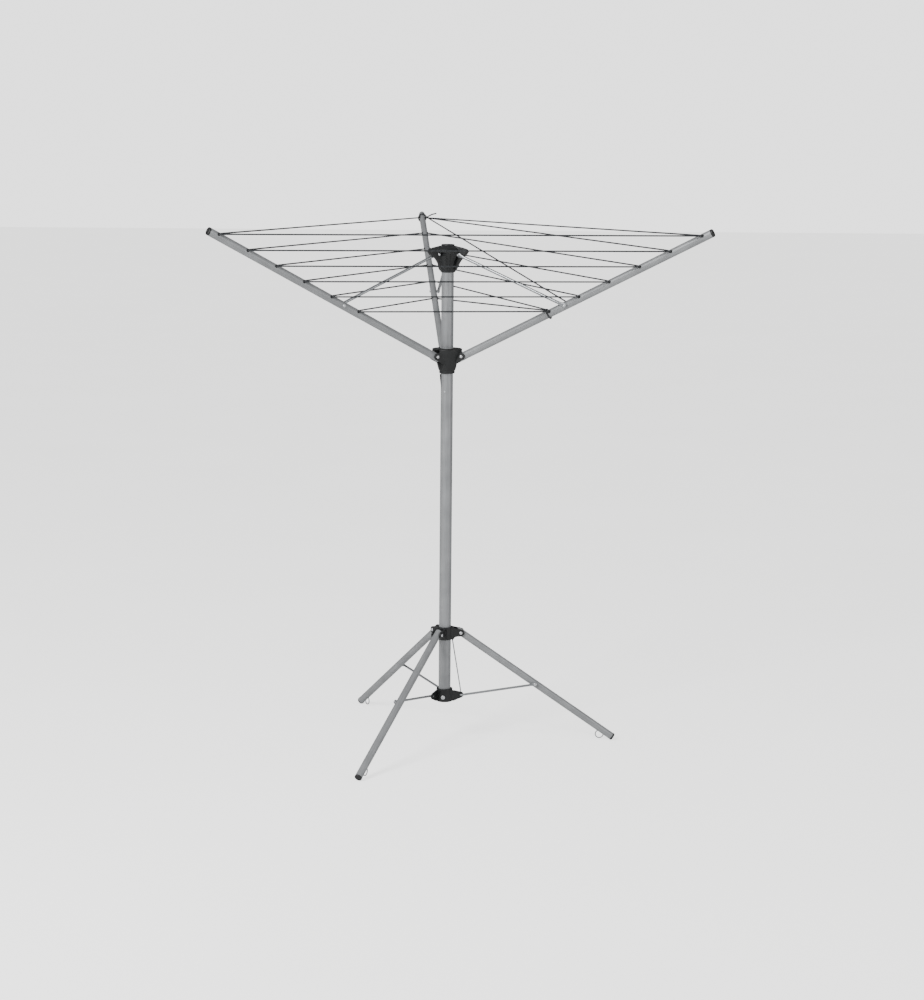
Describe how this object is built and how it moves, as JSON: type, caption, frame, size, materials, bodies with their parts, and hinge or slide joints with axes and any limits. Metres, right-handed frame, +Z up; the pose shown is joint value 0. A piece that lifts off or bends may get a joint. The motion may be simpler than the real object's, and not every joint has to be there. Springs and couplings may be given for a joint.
{
  "type": "rotary clothesline",
  "caption": "Camping rotary clothesline: a mast in a folding tripod carries a sliding runner, struts and rising arms strung with a spiral line.",
  "frame": {"origin": "on the mast axis, in the flat underside of the mast socket", "axes": "+Z up along the mast, +X towards leg 1, +Y a quarter turn anticlockwise seen from above"},
  "size_m": [1.244, 1.1281, 1.3781],
  "materials": {
    "tube": "silver satin tube",
    "black_plastic": "black moulded nylon",
    "steel": "bright drawn steel rod and tube",
    "zinc": "zinc plated rivets and screws",
    "line": "dark coated line"
  },
  "bodies": {
    "collar": {"collar": "black_plastic", "leg_pin_1": "zinc", "leg_pin_2": "zinc", "leg_pin_3": "zinc", "tie_wire": "steel"},
    "socket": {"socket": "black_plastic", "socket_screw": "zinc"},
    "mast": {"mast": "tube", "mast_plug": "black_plastic", "hub": "black_plastic", "hub_cap": "black_plastic", "strut_pin_1": "zinc", "strut_pin_2": "zinc", "strut_pin_3": "zinc", "catch_rivet": "zinc"},
    "catch": {"runner_catch": "black_plastic"},
    "runner": {"runner": "black_plastic", "arm_pin_1": "zinc", "arm_pin_2": "zinc", "arm_pin_3": "zinc", "clothesline": "line"},
    "arm_1": {"arm_1": "tube", "arm_cap_1": "black_plastic", "arm_rivet_1": "zinc"},
    "strut_1": {"strut_1": "steel", "strut_rivet_1": "zinc"},
    "leg_1": {"leg_1": "tube", "leg_cap_1": "black_plastic"},
    "brace_1": {"brace_1": "steel", "brace_rivet_1": "zinc"},
    "peg_ring_1": {"peg_ring_1": "steel"},
    "arm_2": {"arm_2": "tube", "arm_cap_2": "black_plastic", "arm_rivet_2": "zinc"},
    "strut_2": {"strut_2": "steel", "strut_rivet_2": "zinc"},
    "leg_2": {"leg_2": "tube", "leg_cap_2": "black_plastic"},
    "brace_2": {"brace_2": "steel", "brace_rivet_2": "zinc"},
    "peg_ring_2": {"peg_ring_2": "steel"},
    "arm_3": {"arm_3": "tube", "arm_cap_3": "black_plastic", "arm_rivet_3": "zinc"},
    "strut_3": {"strut_3": "steel", "strut_rivet_3": "zinc"},
    "leg_3": {"leg_3": "tube", "leg_cap_3": "black_plastic"},
    "brace_3": {"brace_3": "steel", "brace_rivet_3": "zinc"},
    "peg_ring_3": {"peg_ring_3": "steel"}
  },
  "joints": [
    {"name": "base_fold", "type": "slide", "parent": "collar", "child": "socket", "axis": [0, 0, 1], "range_m": [0, 0.12564], "deforming": ["tie_wire"]},
    {"name": "leg_1_fold", "type": "hinge", "parent": "collar", "child": "leg_1", "pos_m": [0.042, 0, 0.187], "axis": [0, 1, 0], "range_deg": [0, 55]},
    {"name": "brace_1_fold", "type": "hinge", "parent": "socket", "child": "brace_1", "pos_m": [0.042, 0, 0.0194], "axis": [0, 1, 0], "range_deg": [0, 98.07]},
    {"name": "peg_ring_1_swing", "type": "hinge", "parent": "leg_1", "child": "peg_ring_1", "pos_m": [0.41856, 0, -0.08766], "axis": [0.8192, 0, -0.5736], "range_deg": [-20, 20]},
    {"name": "leg_2_fold", "type": "hinge", "parent": "collar", "child": "leg_2", "pos_m": [-0.021, 0.03637, 0.187], "axis": [-0.866, -0.5, 0], "range_deg": [0, 55]},
    {"name": "brace_2_fold", "type": "hinge", "parent": "socket", "child": "brace_2", "pos_m": [-0.021, 0.03637, 0.0194], "axis": [-0.866, -0.5, 0], "range_deg": [0, 98.07]},
    {"name": "peg_ring_2_swing", "type": "hinge", "parent": "leg_2", "child": "peg_ring_2", "pos_m": [-0.20928, 0.36249, -0.08766], "axis": [-0.4096, 0.7094, -0.5736], "range_deg": [-20, 20]},
    {"name": "leg_3_fold", "type": "hinge", "parent": "collar", "child": "leg_3", "pos_m": [-0.021, -0.03637, 0.187], "axis": [0.866, -0.5, 0], "range_deg": [0, 55]},
    {"name": "brace_3_fold", "type": "hinge", "parent": "socket", "child": "brace_3", "pos_m": [-0.021, -0.03637, 0.0194], "axis": [0.866, -0.5, 0], "range_deg": [0, 98.07]},
    {"name": "peg_ring_3_swing", "type": "hinge", "parent": "leg_3", "child": "peg_ring_3", "pos_m": [-0.20928, -0.36249, -0.08766], "axis": [-0.4096, -0.7094, -0.5736], "range_deg": [-20, 20]},
    {"name": "head_spin", "type": "hinge", "parent": "socket", "child": "mast", "pos_m": [0, 0, 0], "axis": [0, 0, 1], "continuous": true},
    {"name": "runner_slide", "type": "slide", "parent": "mast", "child": "runner", "axis": [0, 0, -1], "range_m": [0, 0.37532], "deforming": ["clothesline", "runner_catch"]},
    {"name": "catch_press", "type": "hinge", "parent": "mast", "child": "catch", "pos_m": [-0.0132, -0.00281, 0.84], "axis": [-0.2079, 0.9781, 0], "range_deg": [0, 7], "stiffness_Nm_per_rad": 0.35},
    {"name": "arm_1_lift", "type": "hinge", "parent": "runner", "child": "arm_1", "pos_m": [0.04114, -0.01283, 0.923], "axis": [-0.4384, -0.8988, 0], "range_deg": [0, 60.3]},
    {"name": "strut_1_swing", "type": "hinge", "parent": "mast", "child": "strut_1", "pos_m": [0.02411, -0.01899, 1.1865], "axis": [0.4384, 0.8988, 0], "range_deg": [0, 62.83]},
    {"name": "arm_2_lift", "type": "hinge", "parent": "runner", "child": "arm_2", "pos_m": [-0.00946, 0.04204, 0.923], "axis": [0.9976, 0.0698, 0], "range_deg": [0, 60.3]},
    {"name": "strut_2_swing", "type": "hinge", "parent": "mast", "child": "strut_2", "pos_m": [0.00439, 0.03038, 1.1865], "axis": [-0.9976, -0.0698, 0], "range_deg": [0, 62.83]},
    {"name": "arm_3_lift", "type": "hinge", "parent": "runner", "child": "arm_3", "pos_m": [-0.03168, -0.02921, 0.923], "axis": [-0.5592, 0.829, 0], "range_deg": [0, 60.3]},
    {"name": "strut_3_swing", "type": "hinge", "parent": "mast", "child": "strut_3", "pos_m": [-0.02851, -0.01139, 1.1865], "axis": [0.5592, -0.829, 0], "range_deg": [0, 62.83]}
  ],
  "couplings": [
    {"joint": "leg_1_fold", "follows": "base_fold", "rad_per_m": 7.6403},
    {"joint": "brace_1_fold", "follows": "base_fold", "rad_per_m": 13.623},
    {"joint": "leg_2_fold", "follows": "base_fold", "rad_per_m": 7.6403},
    {"joint": "brace_2_fold", "follows": "base_fold", "rad_per_m": 13.623},
    {"joint": "leg_3_fold", "follows": "base_fold", "rad_per_m": 7.6403},
    {"joint": "brace_3_fold", "follows": "base_fold", "rad_per_m": 13.623},
    {"joint": "arm_1_lift", "follows": "runner_slide", "rad_per_m": 2.8041},
    {"joint": "strut_1_swing", "follows": "runner_slide", "rad_per_m": 2.9217},
    {"joint": "arm_2_lift", "follows": "runner_slide", "rad_per_m": 2.8041},
    {"joint": "strut_2_swing", "follows": "runner_slide", "rad_per_m": 2.9217},
    {"joint": "arm_3_lift", "follows": "runner_slide", "rad_per_m": 2.8041},
    {"joint": "strut_3_swing", "follows": "runner_slide", "rad_per_m": 2.9217}
  ]
}
